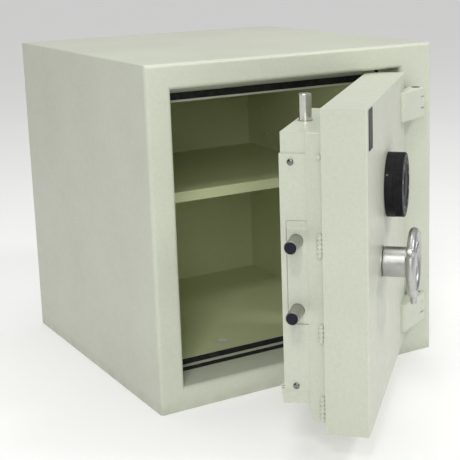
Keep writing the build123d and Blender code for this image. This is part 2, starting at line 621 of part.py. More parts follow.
def post_points():
    """Centres of the four posts that hold the box's cover, as x and z."""
    xs = (BOX_LEFT + EDGE_RETURN + POST_INSET, BOX_RIGHT - POST_INSET)
    zs = (FOOT_TOP + POST_INSET, BOX_TOP - POST_INSET)
    return [(x, z) for x in xs for z in zs]


def cover_screw_cutters():
    rear, radius = BOX_DEPTH, COVER_SCREW[2]
    return [
        rod_y(x, z, rear - COVER_SCREW_LENGTH, rear + JOIN, radius) for x, z in post_points()
    ]


def bolt_box_cover():
    z0 = BOX_BOTTOM + BOX_CHAMFER_HEIGHT
    cover = block(
        BOX_LEFT + SHEET, BOX_RIGHT - SHEET, BOX_DEPTH - COVER_SHEET, BOX_DEPTH, z0, BOX_TOP - SHEET
    )
    return cover - cover_screw_cutters()


def box_foot():
    """Slanted bar along the bottom of the box's back, slotted at its leading end."""
    slope_d, low = BOX_DEPTH - BOX_CHAMFER_DEPTH, BOX_BOTTOM
    outline = [
        (slope_d, low), (BOX_DEPTH, low + BOX_CHAMFER_HEIGHT), (BOX_DEPTH, FOOT_TOP),
        (FOOT_RIM_DEPTH, FOOT_TOP), (FOOT_BASE_DEPTH, FOOT_BOTTOM), (slope_d, FOOT_BOTTOM),
    ]
    foot = prism_dz(outline, BOX_LEFT + 1, BOX_RIGHT - 1)
    far = BOX_LEFT + FOOT_SLOT_LENGTH
    for z in FOOT_SLOT_ZS:
        foot -= block(BOX_LEFT, far, BOX_DEPTH + EDGE_SHEET, FOOT_RIM_DEPTH + JOIN, z, z + FOOT_SLOT_HEIGHT)
    return foot


def box_blocks():
    """Posts, bored bolt guides and carriage rails welded inside the box."""
    step, rear = STEP_DEPTH, BOX_DEPTH - COVER_SHEET
    posts = [rod_y(x, z, step, rear, POST_RADIUS) for x, z in post_points()]
    left, half = BOX_LEFT + SHEET, TOP_GUIDE_HALF
    side_end = SIDE_BOLT_DEPTH + GUIDE_OVER
    side = block(left, left + SIDE_GUIDE_WIDTH, step, side_end, *SIDE_GUIDE_ZS)
    top = block(TOP_BOLT_X - half, TOP_BOLT_X + half, step, rear, *TOP_GUIDE_ZS)
    over, under = CARRIAGE_TOP + RAIL_GAP, CARRIAGE_BOTTOM - RAIL_GAP
    rails = [
        block(CARRIAGE_LEFT, RAIL_END, step, LAYER_A[1], z0, z0 + RAIL_HEIGHT)
        for z0 in (over, under - RAIL_HEIGHT)
    ]
    cutters = bolt_rods(BOLT_BORE_RADIUS, STROKE) + cover_screw_cutters()
    return group([shape - cutters for shape in posts + [side, top]] + rails)


def cover_screws():
    head_radius, head, shank = COVER_SCREW
    rear = BOX_DEPTH
    return [
        rod_y(x, z, rear, rear + head, head_radius)
        + rod_y(x, z, rear - COVER_SCREW_LENGTH, rear, shank)
        for x, z in post_points()
    ]


def edge_screw_cutters():
    x0, x1 = BOX_LEFT - EDGE_SHEET - JOIN, BOX_LEFT + SHEET
    return [rod_x(x0, x1, depth, z, EDGE_SCREW[2]) for depth, z in EDGE_SCREWS]


def edge_screws():
    head_radius, height, shank = EDGE_SCREW
    outside = BOX_LEFT - EDGE_SHEET
    screws = []
    for depth, z in EDGE_SCREWS:
        head = rod_x(outside - height, outside, depth, z, head_radius)
        head = fillet(head.edges().sort_by(Axis.X)[0], EDGE_HEAD_ROUND)
        screws.append(head + rod_x(outside, BOX_LEFT + SHEET, depth, z, shank))
    return screws


def edge_plate():
    """Thin plate on the box's leading side, folded round its rear corner."""
    t, rear = EDGE_SHEET, BOX_DEPTH
    x0 = BOX_LEFT - t
    side = block(x0, BOX_LEFT, STEP_DEPTH, rear + t, EDGE_BOTTOM, EDGE_TOP)
    wrap = block(x0, BOX_LEFT + EDGE_RETURN, rear, rear + t, FOOT_TOP, EDGE_TOP)
    window = block(
        x0 - JOIN, BOX_LEFT, STEP_DEPTH - JOIN, WINDOW_DEPTH, WINDOW_BOTTOM, WINDOW_TOP
    )
    plate = side + wrap
    return plate - window - edge_screw_cutters() - cover_screw_cutters()


def edge_guide_plate():
    """Stepped plate in the edge plate's window, bored for the side bolts."""
    gap = GUIDE_PLATE_GAP
    z0, z1 = WINDOW_BOTTOM + gap, WINDOW_TOP - gap
    slope_low, slope_top = GUIDE_PLATE_SLOPE_ZS
    thin, thick = BOX_LEFT - GUIDE_PLATE_THIN, BOX_LEFT - GUIDE_PLATE_THICK
    outline = [
        (BOX_LEFT, z0), (BOX_LEFT, z1), (thin, z1), (thin, slope_top), (thick, slope_low), (thick, z0)
    ]
    return prism_xz(outline, STEP_DEPTH, WINDOW_DEPTH - gap) - bolt_rods(BOLT_HOLE_RADIUS)


def bolt_collar():
    """Thin ring round the top bolt where it leaves the box."""
    ring = rod_z(TOP_BOLT_X, TOP_BOLT_DEPTH, BOX_TOP, BOX_TOP + COLLAR_HEIGHT, COLLAR_RADIUS)
    return ring - bolt_rods(BOLT_HOLE_RADIUS)


def dog_screw_points():
    return [(x, z) for z in DOG_ZS for x in DOG_SCREW_XS]


def dog_bars():
    rear = STEP_DEPTH + DOG_THICKNESS
    holes = [
        rod_y(x, z, STEP_DEPTH - JOIN, rear + JOIN, DOG_SCREW[2]) for x, z in dog_screw_points()
    ]
    bars = []
    for z in DOG_ZS:
        bar = block(DOG_LEFT, DOG_TIP, STEP_DEPTH, rear, z - DOG_HALF, z + DOG_HALF)
        tip = bar.edges().filter_by(Axis.Z).sort_by(Axis.X)[-2:]
        bars.append(chamfer(tip, DOG_CHAMFER) - holes)
    return group(bars)


def dog_screws():
    head_radius, head, shank = DOG_SCREW
    rear = STEP_DEPTH + DOG_THICKNESS
    return [
        rod_y(x, z, rear, rear + head, head_radius) + rod_y(x, z, STEP_DEPTH, rear, shank)
        for x, z in dog_screw_points()
    ]


def weld_beads():
    """Short fillet welds in the corner between slab and step."""
    corner, far = STEP_LEFT_FRONT, SLAB_DEPTH + WELD_LEG
    section = [(corner - WELD_LEG, SLAB_DEPTH), (corner, SLAB_DEPTH), (step_edge(far), far)]
    return group([prism_xd(section, z0, z1) for z0, z1 in WELD_SPANS])


def name_plate():
    """A blank plate where a maker would put a name."""
    x0, x1 = SLAB_LEFT + PLATE_FROM, SLAB_LEFT + PLATE_TO
    plate = block(x0, x1, -PLATE_THICKNESS, 0, *PLATE_ZS)
    return fillet(plate.edges().filter_by(Axis.Y), PLATE_CORNER)


def dial_ring():
    ring = rod_y(DIAL_X, DIAL_Z, -DIAL_RING_HEIGHT, 0, DIAL_RADIUS)
    return ring - rod_y(DIAL_X, DIAL_Z, -DIAL_RING_HEIGHT - JOIN, JOIN, BOSS_BORE_RADIUS)


def handle_collar():
    height, inner = HANDLE_COLLAR_HEIGHT, SPINDLE_RADIUS + DIAL_GAP
    return ring_y(HANDLE_X, HANDLE_Z, -height, 0, HANDLE_COLLAR_RADIUS, inner)


def lock_case():
    t, gap = CASE_SHEET, CASE_GAP
    case = block(CASE_LEFT, CASE_RIGHT, STEP_DEPTH, CASE_DEPTH, CASE_BOTTOM, CASE_TOP)
    room = block(
        CASE_LEFT + t, CASE_RIGHT - t, STEP_DEPTH + t, CASE_DEPTH + JOIN, CASE_BOTTOM + t, CASE_TOP - t
    )
    slot = block(
        LOCK_X - LOCK_HALF - gap, LOCK_X + LOCK_HALF + gap, LAYER_A[0] - gap, LAYER_A[1] + gap,
        CASE_BOTTOM - JOIN, CASE_BOTTOM + t + JOIN,
    )
    hole = rod_y(DIAL_X, DIAL_Z, STEP_DEPTH - JOIN, STEP_DEPTH + t + JOIN, DIAL_SLEEVE_RADIUS)
    return case - room - slot - hole


def lock_cover():
    far = CASE_DEPTH + CASE_SHEET
    return block(CASE_LEFT, CASE_RIGHT, CASE_DEPTH, far, CASE_BOTTOM, CASE_TOP)


def relocker():
    """Spring pin housing that would block the boltwork after an attack."""
    x0, x1, thickness, z0, z1 = RELOCKER_BOX
    body = block(x0, x1, STEP_DEPTH, STEP_DEPTH + thickness, z0, z1)
    depth = STEP_DEPTH + RELOCKER_PIN_OUT
    return body + rod_z(RELOCKER_PIN_X, depth, RELOCKER_PIN_BOTTOM, z0, RELOCKER_PIN_RADIUS)


# ---------------------------------------------------------------- boltwork


def involute(angle):
    return tan(angle) - angle


def pinion_outline():
    """Points round the pinion, with a tooth centred at angle 0."""
    pressure = radians(PRESSURE_DEG)
    base = PITCH_RADIUS * cos(pressure)
    root, tip = PITCH_RADIUS - TOOTH_FALL, PITCH_RADIUS + TOOTH_RISE
    half = pi / (2 * TEETH) - PINION_BACKLASH / (2 * PITCH_RADIUS) + involute(pressure)
    steps = 5
    flank = [(root, half)]
    for i in range(steps + 1):
        radius = base + (tip - base) * i / steps
        flank.append((radius, half - involute(acos(base / radius))))
    points = []
    for tooth in range(TEETH):
        centre = 2 * pi * tooth / TEETH
        for radius, angle in flank:
            points.append((radius, centre - angle))
        for radius, angle in reversed(flank):
            points.append((radius, centre + angle))
    return [(r * cos(a), r * sin(a)) for r, a in points]


def drive_pinion():
    outline = [(HANDLE_X + x, HANDLE_Z + z) for x, z in pinion_outline()]
    d0, d1 = PINION_DEPTHS
    return prism_xz(outline, d0, d1) - rod_y(HANDLE_X, HANDLE_Z, d0 - JOIN, d1 + JOIN, SPINDLE_RADIUS)


def rack_profile(first, count):
    """Tooth points along a rack: distance along it, and height over its pitch line."""
    lean = tan(radians(PRESSURE_DEG))
    half = pi * MODULE / 4 - RACK_BACKLASH / 2
    foot, crest = half + TOOTH_FALL * lean, half - TOOTH_RISE * lean
    points = []
    for tooth in range(count):
        centre = first + tooth * pi * MODULE
        points += [
            (centre - foot, -TOOTH_FALL), (centre - crest, TOOTH_RISE),
            (centre + crest, TOOTH_RISE), (centre + foot, -TOOTH_FALL),
        ]
    return points


def ramp_z(x):
    return RAMP_Z + RAMP_SLOPE * (LOCK_X - x)


def bolt_carriage():
    """Plate that joins both side bolts, with the rack under the pinion and the lock ramp."""
    pitch = pi * MODULE
    spine = block(CARRIAGE_LEFT, CARRIAGE_RIGHT, *LAYER_A, CARRIAGE_BOTTOM, CARRIAGE_TOP)
    pitch_line = HANDLE_Z - PITCH_RADIUS
    first = HANDLE_X - (RACK_TEETH - 2) * pitch
    teeth = [(s, pitch_line + t) for s, t in rack_profile(first, RACK_TEETH)]
    root = pitch_line - TOOTH_FALL
    inner = CARRIAGE_RIGHT - ARM_LAP
    lower = [(inner, ARM_BOTTOM), (ARM_END, ARM_BOTTOM), (ARM_END, root)]
    lower += list(reversed(teeth)) + [(inner, root)]
    crest_x = LOCK_X - STROKE - ROLLER_RADIUS - RAMP_RUN_OUT
    crest = ramp_z(crest_x)
    upper = [
        (inner, RAMP_ARM_BOTTOM), (RAMP_END, RAMP_ARM_BOTTOM), (RAMP_END, ramp_z(RAMP_END)),
        (crest_x, crest), (inner, crest),
    ]
    plate = spine + prism_xz(lower, *LAYER_A) + prism_xz(upper, *LAYER_A)
    return plate - bolt_screw_rods()


def bolt_screw_rods(over=JOIN):
    x, far = CARRIAGE_LEFT + BOLT_SCREW_INSET, SIDE_BOLT_DEPTH + BOLT_SCREW_OVER
    return [rod_y(x, z, LAYER_A[0] - over, far, BOLT_SCREW_RADIUS) for z in SIDE_BOLT_ZS]


def side_bolts():
    bolts = []
    rods = bolt_rods(BOLT_RADIUS)
    for rod, z in zip(rods, SIDE_BOLT_ZS):
        rod = chamfer(rod.edges().filter_by(GeomType.CIRCLE).sort_by(Axis.X)[0], BOLT_TIP_CHAMFER)
        low, high = z - BOLT_RADIUS - JOIN, z + BOLT_RADIUS + JOIN
        flat = block(CARRIAGE_LEFT, SIDE_BOLT_END + JOIN, 0, LAYER_A[1], low, high)
        bolts.append(rod - flat - bolt_screw_rods())
    return group(bolts)


def bolt_screws():
    return group(bolt_screw_rods(over=0))


def top_bolt():
    """Round bolt with a flat where its vertical rack plate is welded on."""
    pitch = pi * MODULE
    rod = bolt_rods(BOLT_RADIUS)[-1]
    tip = rod.edges().filter_by(GeomType.CIRCLE).sort_by(Axis.Z)[-1]
    x0, x1 = TOP_BOLT_X - BOLT_RADIUS, TOP_BOLT_X + BOLT_RADIUS
    plate_top = TOP_BOLT_END + FLAT_LENGTH
    bolt = chamfer(tip, BOLT_TIP_CHAMFER)
    bolt -= block(x0 - JOIN, x1 + JOIN, 0, LAYER_B[1], TOP_BOLT_END - JOIN, plate_top)
    pitch_x = HANDLE_X - PITCH_RADIUS
    root = pitch_x - TOOTH_FALL
    web, low = root - RACK_WEB, HANDLE_Z - RACK_OVERRUN
    teeth = [(pitch_x + t, s) for s, t in rack_profile(HANDLE_Z - 1.5 * pitch, RACK_TEETH)]
    outline = [(web, low), (root, low)] + teeth + [(root, plate_top), (web, plate_top)]
    wide = block(web, x1, *LAYER_B, WEB_WIDE_Z, plate_top)
    return bolt + prism_xz(outline, *LAYER_B) + wide


def lock_bolt():
    """Tongue of the combination lock, with a rounded foot that rides the ramp."""
    slope = atan2(RAMP_SLOPE, 1)
    foot_z = RAMP_Z + (ROLLER_RADIUS + ROLLER_GAP) / cos(slope)
    tongue = block(LOCK_X - LOCK_HALF, LOCK_X + LOCK_HALF, *LAYER_A, LOCK_BOTTOM, LOCK_TOP)
    leg = block(
        LOCK_X - ROLLER_RADIUS, LOCK_X + ROLLER_RADIUS, *LAYER_A, foot_z, LOCK_BOTTOM + JOIN
    )
    return tongue + leg + rod_y(LOCK_X, foot_z, *LAYER_A, ROLLER_RADIUS)


# ---------------------------------------------------------------- handle and dial


def handwheel():
    """Ring handle: hub, three spokes that pass through the rim, and the rim.

    Drawn lying flat with its axis up, then stood against the door.
    """
    lift = Pos(0, 0, WHEEL_HEIGHT)
    hub = Pos(0, 0, (HUB_HEIGHT + HUB_FOOT) / 2) * Cylinder(HUB_RADIUS, HUB_HEIGHT - HUB_FOOT)
    nose_height = WHEEL_HEIGHT + NOSE_OVER - HUB_HEIGHT
    nose = Pos(0, 0, HUB_HEIGHT + nose_height / 2) * Cylinder(NOSE_RADIUS, nose_height)
    section = RectangleRounded(2 * RIM_TUBE, 2 * RIM_TUBE, RIM_TUBE - 0.2)
    wheel = revolve(Plane.XZ * Pos(RIM_RADIUS, WHEEL_HEIGHT) * section, Axis.Z)
    for angle in SPOKE_TURNS_DEG:
        spoke = Rot(0, 90, 0) * Cylinder(SPOKE_RADIUS, LUG_REACH)
        spoke = chamfer(spoke.edges().filter_by(GeomType.CIRCLE).sort_by(Axis.X)[-1], 1.5)
        wheel += lift * Rot(0, 0, angle) * Pos(LUG_REACH / 2, 0, 0) * spoke
    wheel = wheel + hub + nose
    bore = Pos(0, 0, SPINDLE_END / 2) * Cylinder(SPINDLE_RADIUS, SPINDLE_END)
    return Pos(HANDLE_X, FRONT, HANDLE_Z) * Rot(90, 0, 0) * (wheel - bore)


def handle_spindle():
    return rod_y(HANDLE_X, HANDLE_Z, -SPINDLE_END, SPINDLE_DEPTH, SPINDLE_RADIUS)


def retaining_ring():
    d0 = PINION_DEPTHS[1] + RETAINER_GAP
    return ring_y(HANDLE_X, HANDLE_Z, d0, d0 + RETAINER_THICKNESS, RETAINER_RADIUS, SPINDLE_RADIUS)


def dial_knob():
    """Ribbed knob with a boss that runs in the fixed ring."""
    x, z = DIAL_X, DIAL_Z
    face = rod_y(x, z, -DIAL_HEIGHT, -DIAL_RING_HEIGHT - DIAL_GAP, KNOB_RADIUS)
    face = chamfer(face.edges().sort_by(Axis.Y)[0], JOIN)
    boss = rod_y(x, z, -DIAL_RING_HEIGHT - JOIN, -JOIN, BOSS_RADIUS)
    return face + boss - rod_y(x, z, -DIAL_SPINDLE_REACH, JOIN, DIAL_SPINDLE_RADIUS)


def dial_spindle():
    return rod_y(DIAL_X, DIAL_Z, -DIAL_SPINDLE_REACH, DIAL_SPINDLE_END, DIAL_SPINDLE_RADIUS)


def wheel_pack():
    """Three gated wheels and the drive cam on the dial's spindle."""
    wheels = []
    for index, depth in enumerate(WHEEL_DEPTHS):
        wheel = ring_y(
            DIAL_X, DIAL_Z, depth, depth + WHEEL_THICKNESS, WHEEL_RADIUS, DIAL_SPINDLE_RADIUS
        )
        gate = Pos(WHEEL_RADIUS, 0, 0) * Box(2 * GATE_DEPTH, 4 * WHEEL_THICKNESS, GATE_WIDTH)
        turn = Pos(DIAL_X, FRONT + depth, DIAL_Z) * Rot(0, GATE_TURN_DEG * index, 0)
        wheels.append(wheel - turn * gate)
    return group(wheels)


# ---------------------------------------------------------------- all nodes

CABINET = {
    "outer_casing": outer_casing(), "back_plate": back_plate(), "base_plate": base_plate(),
    **frame_bars(), **fillings(),
    "inner_liner": inner_liner(), "outer_seal": outer_seal(), "inner_seal": inner_seal(),
    "bolt_keepers": bolt_keepers(), "anchor_sleeve": anchor_sleeve(), "anchor_cap": anchor_cap(),
    "shelf": shelf(), "shelf_clips": shelf_clips(),
    "hinge_lug_upper": hinge_lug("upper"), "hinge_lug_lower": hinge_lug("lower"),
    "hinge_pins": hinge_pins(), "hinge_washers": hinge_washers(),
}
DOOR = {
    "door_pan": door_pan(), "door_infill": door_infill(), "door_back_plate": door_back_plate(),
    "step_pan": step_pan(), "step_infill": step_infill(), "spindle_sleeves": spindle_sleeves(),
    "bolt_box": bolt_box(), "bolt_box_cover": bolt_box_cover(), "box_foot": box_foot(),
    "box_blocks": box_blocks(),
    "door_screws": group(cover_screws() + edge_screws() + dog_screws()),
    "edge_plate": edge_plate(), "edge_guide_plate": edge_guide_plate(),
    "bolt_collar": bolt_collar(), "dog_bars": dog_bars(), "weld_beads": weld_beads(),
    "hinge_block_upper": hinge_block("upper"), "hinge_block_lower": hinge_block("lower"),
    "name_plate": name_plate(), "dial_ring": dial_ring(), "handle_collar": handle_collar(),
    "lock_case": lock_case(), "lock_cover": lock_cover(), "relocker": relocker(),
    "handwheel": handwheel(), "handle_spindle": handle_spindle(),
    "drive_pinion": drive_pinion(), "retaining_ring": retaining_ring(),
    "bolt_carriage": bolt_carriage(), "side_bolts": side_bolts(), "bolt_screws": bolt_screws(),
    "top_bolt": top_bolt(), "lock_bolt": lock_bolt(),
    "dial_knob": dial_knob(), "dial_spindle": dial_spindle(), "wheel_pack": wheel_pack(),
}

os.makedirs("parts", exist_ok=True)
for name, shape in CABINET.items():
    export_step(shape, f"parts/{name}.step")
for name, shape in DOOR.items():
    export_step(swing(shape), f"parts/{name}.step")
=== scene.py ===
import json
import math

import bmesh
import bpy
from mathutils import Matrix, Vector


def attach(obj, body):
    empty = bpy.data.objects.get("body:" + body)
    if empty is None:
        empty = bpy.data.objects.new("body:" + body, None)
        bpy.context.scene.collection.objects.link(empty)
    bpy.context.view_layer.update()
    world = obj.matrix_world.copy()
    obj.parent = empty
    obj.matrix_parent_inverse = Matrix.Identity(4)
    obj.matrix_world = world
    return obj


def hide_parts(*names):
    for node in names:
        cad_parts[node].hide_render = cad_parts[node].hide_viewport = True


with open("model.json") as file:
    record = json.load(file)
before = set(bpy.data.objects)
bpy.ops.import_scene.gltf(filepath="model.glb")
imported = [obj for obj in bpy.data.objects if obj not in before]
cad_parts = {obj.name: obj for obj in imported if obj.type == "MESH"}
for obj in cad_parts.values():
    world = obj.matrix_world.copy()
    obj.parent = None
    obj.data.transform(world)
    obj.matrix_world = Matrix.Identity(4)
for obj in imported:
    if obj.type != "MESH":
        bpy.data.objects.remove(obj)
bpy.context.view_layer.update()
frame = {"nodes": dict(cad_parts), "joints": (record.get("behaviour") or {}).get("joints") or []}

# Looks for the fire-resistant safe. Metres, in the row frame: +Z up, -Y the front, +X right.

JOINTS = {joint["name"]: joint for joint in frame["joints"]}
NODES = frame["nodes"]
MM = 0.001

# The door's own directions, from the joints that move along and out of it
OUT = Vector(JOINTS["handle_turn"]["axis"])
RIGHT = Vector(JOINTS["side_bolt_slide"]["axis"])
UP = Vector((0, 0, 1))
HANDLE_CENTRE = Vector(JOINTS["handle_turn"]["pos_m"])
DIAL_CENTRE = Vector(JOINTS["dial_turn"]["pos_m"])

# Camera
LENS_MM, SENSOR_MM = 87.88, 36.0
CAMERA_PLACE = (-0.9803, -1.8515, 0.7483)
YAW_DEG, PITCH_DEG, ROLL_DEG = 31.69, -12.44, -1.33
SHIFT = (-0.143, -0.088)


def door_matrix(centre):
    """Local x to the door's right, y up and z out of its face, at a point on the face."""
    turn = Matrix((RIGHT, UP, OUT)).transposed().to_4x4()
    return Matrix.Translation(centre) @ turn


# ------------------------------------------------------------------ materials

# Painted shade near the floor: below this height the paint darkens towards this colour, in patches.
FOOT_SHADE_HEIGHT = 22 * MM
FOOT_SHADE_COLOUR = (0.38, 0.38, 0.30, 1.0)
GRAIN_SCALE, FINE_GRAIN_SCALE = 210.0, 420.0


class Shader:
    """A material with short calls for adding and joining nodes."""

    def __init__(self, name, **sockets):
        self.material = bpy.data.materials.new(name)
        self.material.use_nodes = True
        self.tree = self.material.node_tree
        self.surface = self.tree.nodes["Principled BSDF"]
        for key, value in sockets.items():
            self.surface.inputs[key.replace("_", " ")].default_value = value
        self.place = self.add("ShaderNodeTexCoord").outputs["Object"]

    def add(self, kind, inputs=None, **settings):
        node = self.tree.nodes.new(kind)
        for key, value in settings.items():
            setattr(node, key, value)
        for key, value in (inputs or {}).items():
            if isinstance(value, bpy.types.NodeSocket):
                self.tree.links.new(value, node.inputs[key])
            else:
                node.inputs[key].default_value = value
        return node

    def feed(self, socket, value):
        self.tree.links.new(value, self.surface.inputs[socket])

    def noise(self, scale, detail=3.0, roughness=0.5, distortion=0.0, place=None):
        inputs = {
            "Vector": place or self.place, "Scale": scale, "Detail": detail,
            "Roughness": roughness, "Distortion": distortion,
        }
        return self.add("ShaderNodeTexNoise", inputs).outputs["Fac"]

    def stretched(self, scale):
        mapping = self.add("ShaderNodeMapping", {"Vector": self.place, "Scale": scale})
        return mapping.outputs["Vector"]

    def ramp(self, value, stops):
        node = self.add("ShaderNodeValToRGB", {"Fac": value})
        elements = node.color_ramp.elements
        while len(elements) < len(stops):
            elements.new(0.5)
        for element, (position, colour) in zip(elements, stops):
            element.position = position
            element.color = (*colour, 1.0)
        return node.outputs["Color"]

    def speckle(self, value, low, dark, high, bright):
        """Base colour between two tones of a noise."""
        self.feed("Base Color", self.ramp(value, ((low, dark), (high, bright))))

    def range(self, value, low, high, start=0.0, end=1.0):
        inputs = {"Value": value, "From Min": start, "From Max": end, "To Min": low, "To Max": high}
        return self.add("ShaderNodeMapRange", inputs).outputs["Result"]

    def mix(self, factor, first, second, blend="MIX"):
        node = self.add("ShaderNodeMix", data_type="RGBA", blend_type=blend)
        for index, value in ((0, factor), (6, first), (7, second)):
            if isinstance(value, bpy.types.NodeSocket):
                self.tree.links.new(value, node.inputs[index])
            else:
                node.inputs[index].default_value = value
        return node.outputs[2]

    def bump(self, height, strength, distance, normal=None):
        inputs = {"Height": height, "Strength": strength, "Distance": distance}
        if normal is not None:
            inputs["Normal"] = normal
        return self.add("ShaderNodeBump", inputs).outputs["Normal"]


def textured_paint(name, light, dark, roughness, grain_distance):
    """Powder coat with a leather grain, soft colour drift, scuffed sheen and painted shade at the
    foot.
    """
    s = Shader(name, Specular_IOR_Level=0.5, Coat_Weight=0.12, Coat_Roughness=0.3)
    drift = s.noise(5.0, 2.0)
    fleck = s.noise(240.0, 4.0, 0.6, 0.6)
    tone = s.ramp(drift, ((0.3, dark), (0.72, light)))
    fleck_tint = s.ramp(fleck, ((0.35, (0.945, 0.945, 0.935)), (0.65, (1.0, 1.0, 1.0))))
    clean = s.mix(1.0, tone, fleck_tint, "MULTIPLY")
    # Painted shade at the foot: the colour darkens in patches towards the bottom.
    height = s.add("ShaderNodeSeparateXYZ", {"Vector": s.place}).outputs["Z"]
    low = s.range(height, 1.0, 0.0, 0.0, FOOT_SHADE_HEIGHT)
    patchy = s.range(s.noise(28.0, 4.0, 0.65), 0.1, 0.55, 0.35, 0.65)
    foot_shade = s.add("ShaderNodeMath", {0: low, 1: patchy}, operation="MULTIPLY").outputs["Value"]
    s.feed("Base Color", s.mix(foot_shade, clean, FOOT_SHADE_COLOUR))
    s.feed("Roughness", s.range(s.noise(70.0, 3.0), roughness - 0.07, roughness + 0.09, 0.3, 0.7))
    cells = s.add(
        "ShaderNodeTexVoronoi",
        {"Vector": s.place, "Scale": GRAIN_SCALE, "Randomness": 1.0, "Smoothness": 0.8},
        feature="SMOOTH_F1",
    ).outputs["Distance"]
    coarse = s.bump(cells, 0.5, grain_distance)
    fine = s.bump(s.noise(FINE_GRAIN_SCALE, 4.0, 0.6), 0.4, grain_distance * 0.6, coarse)
    s.feed("Normal", fine)
    return s.material


def cast_filling():
    """Crumbly cast mass of the fire-resistant filling."""
    s = Shader("cast_filling", Roughness=0.95)
    s.speckle(s.noise(60.0, 6.0), 0.3, (0.30, 0.29, 0.27), 0.7, (0.62, 0.60, 0.56))
    s.feed("Normal", s.bump(s.noise(180.0, 6.0), 0.8, 0.001))
    return s.material


def seal_rubber():
    """Matt black strip with a fine length-wise drag and a little dust; also the painted shade on
    the guide plate's sides.
    """
    s = Shader("seal_rubber", Specular_IOR_Level=0.35)
    dust = s.noise(90.0, 5.0, 0.65)
    s.speckle(dust, 0.45, (0.006, 0.006, 0.006), 0.8, (0.035, 0.034, 0.030))
    s.feed("Roughness", s.range(dust, 0.55, 0.85))
    s.feed("Normal", s.bump(s.noise(700.0, 3.0), 0.5, 0.0002))
    return s.material


def turned_metal(name, colour, roughness, direction, scratch=0.35):
    """Machined metal; the fine marks lie close together along the direction given."""
    s = Shader(name, Metallic=1.0)
    stretch = [1.0 + 7.0 * abs(part) for part in direction]
    lines = s.noise(600.0, 4.0, 0.7, 0.0, s.stretched(stretch))
    smear = s.noise(40.0, 4.0, 0.6)
    shade = [part * 0.78 for part in colour]
    s.speckle(smear, 0.3, shade, 0.7, colour)
    s.feed("Roughness", s.range(smear, roughness - 0.06, roughness + 0.10, 0.3, 0.7))
    s.feed("Normal", s.bump(lines, scratch, 0.00005))
    return s.material


def satin_casting():
    """Plated casting of the handwheel: soft sheen, faint ripple and handled spots."""
    s = Shader("satin_casting", Metallic=1.0, Coat_Weight=0.2, Coat_Roughness=0.25)
    blotch = s.noise(45.0, 5.0, 0.6)
    s.speckle(blotch, 0.3, (0.40, 0.40, 0.39), 0.75, (0.58, 0.58, 0.56))
    s.feed("Roughness", s.range(blotch, 0.34, 0.46, 0.3, 0.7))
    s.feed("Normal", s.bump(s.noise(320.0, 4.0, 0.6), 0.2, 0.0001))
    return s.material


def dark_end():
    """Blued end face of a bolt, with faint turning marks."""
    s = Shader("dark_end", Metallic=0.6, Specular_IOR_Level=0.3)
    s.speckle(s.noise(500.0, 4.0), 0.3, (0.012, 0.012, 0.022), 0.7, (0.030, 0.030, 0.048))
    s.feed("Roughness", s.range(s.noise(120.0, 3.0), 0.45, 0.65))
    s.feed("Normal", s.bump(s.noise(900.0, 2.0), 0.3, 0.0001))
    return s.material


def dial_plastic():
    """Black dial moulding with a fine mould texture and rubbed highlights."""
    s = Shader("dial_plastic", Specular_IOR_Level=0.16)
    rub = s.noise(120.0, 5.0, 0.65)
    s.speckle(rub, 0.4, (0.007, 0.007, 0.008), 0.8, (0.020, 0.020, 0.021))
    s.feed("Roughness", s.range(rub, 0.45, 0.62, 0.3, 0.7))
    s.feed("Normal", s.bump(s.noise(1400.0, 3.0), 0.25, 0.0001))
    return s.material


def dark_bore():
    """Painted shade: a dark wall for the pin hole of a hinge block."""
    s = Shader("dark_bore", Specular_IOR_Level=0.2, Roughness=0.7)
    s.speckle(s.noise(300.0, 3.0), 0.3, (0.008, 0.008, 0.007), 0.7, (0.03, 0.03, 0.026))
    return s.material


def figure_paint(name, dull, bright):
    """Printed marks of the dial, slightly worn."""
    s = Shader(name)
    s.speckle(s.noise(400.0, 3.0), 0.3, dull, 0.7, bright)
    s.feed("Roughness", s.range(s.noise(300.0, 2.0), 0.45, 0.65))
    return s.material


def weld_paint():
    """Painted weld: the coat's colour over a rippled bead."""
    s = Shader("weld_paint", Specular_IOR_Level=0.5)
    s.speckle(s.noise(200.0, 4.0), 0.35, (0.56, 0.585, 0.49), 0.65, (0.65, 0.68, 0.57))
    s.feed("Roughness", s.range(s.noise(150.0, 3.0), 0.36, 0.55))
    s.feed("Normal", s.bump(s.noise(450.0, 5.0), 0.6, 0.0005))
    return s.material


def floor_paper():
    """Pale studio paper with a slight glow of its own."""
    glow = {"Emission_Strength": FLOOR_GLOW, "Emission_Color": (1, 1, 1, 1)}
    s = Shader("floor_paper", Roughness=0.8, **glow)
    s.speckle(s.noise(2.0, 3.0), 0.3, (0.66, 0.66, 0.65), 0.7, (0.69, 0.69, 0.68))
    return s.material


PAINT = textured_paint("cream_paint", (0.65, 0.68, 0.57), (0.60, 0.625, 0.52), 0.40, 0.0006)
# Painted shade: the interior has the same cream paint; this copy is tinted olive to stand in for
# the greenish shade inside.
INSIDE_SHADE_TINT = textured_paint("inside_paint_shade_tinted", (0.65, 0.69, 0.43), (0.61, 0.65, 0.40), 0.5, 0.0005)
FILLING = cast_filling()
SEAL_RUBBER_AND_GAP_SHADE = seal_rubber()
STEEL = turned_metal("bare_steel", (0.50, 0.50, 0.48), 0.40, (0, 0, 0), 0.5)
SIDE_CHROME = turned_metal("side_bolt_chrome", (0.46, 0.46, 0.42), 0.33, RIGHT)
PIN_STEEL = turned_metal("pin_steel", (0.07, 0.07, 0.065), 0.5, UP)
UPRIGHT_CHROME = turned_metal("upright_bolt_chrome", (0.86, 0.85, 0.80), 0.13, UP, 0.15)
SCREW = turned_metal("screw_plating", (0.26, 0.26, 0.25), 0.22, (0, 0, 0), 0.2)
SATIN = satin_casting()
DARK_END = dark_end()
DIAL = dial_plastic()
FIGURES = figure_paint("figure_paint", (0.34, 0.34, 0.32), (0.55, 0.55, 0.52))
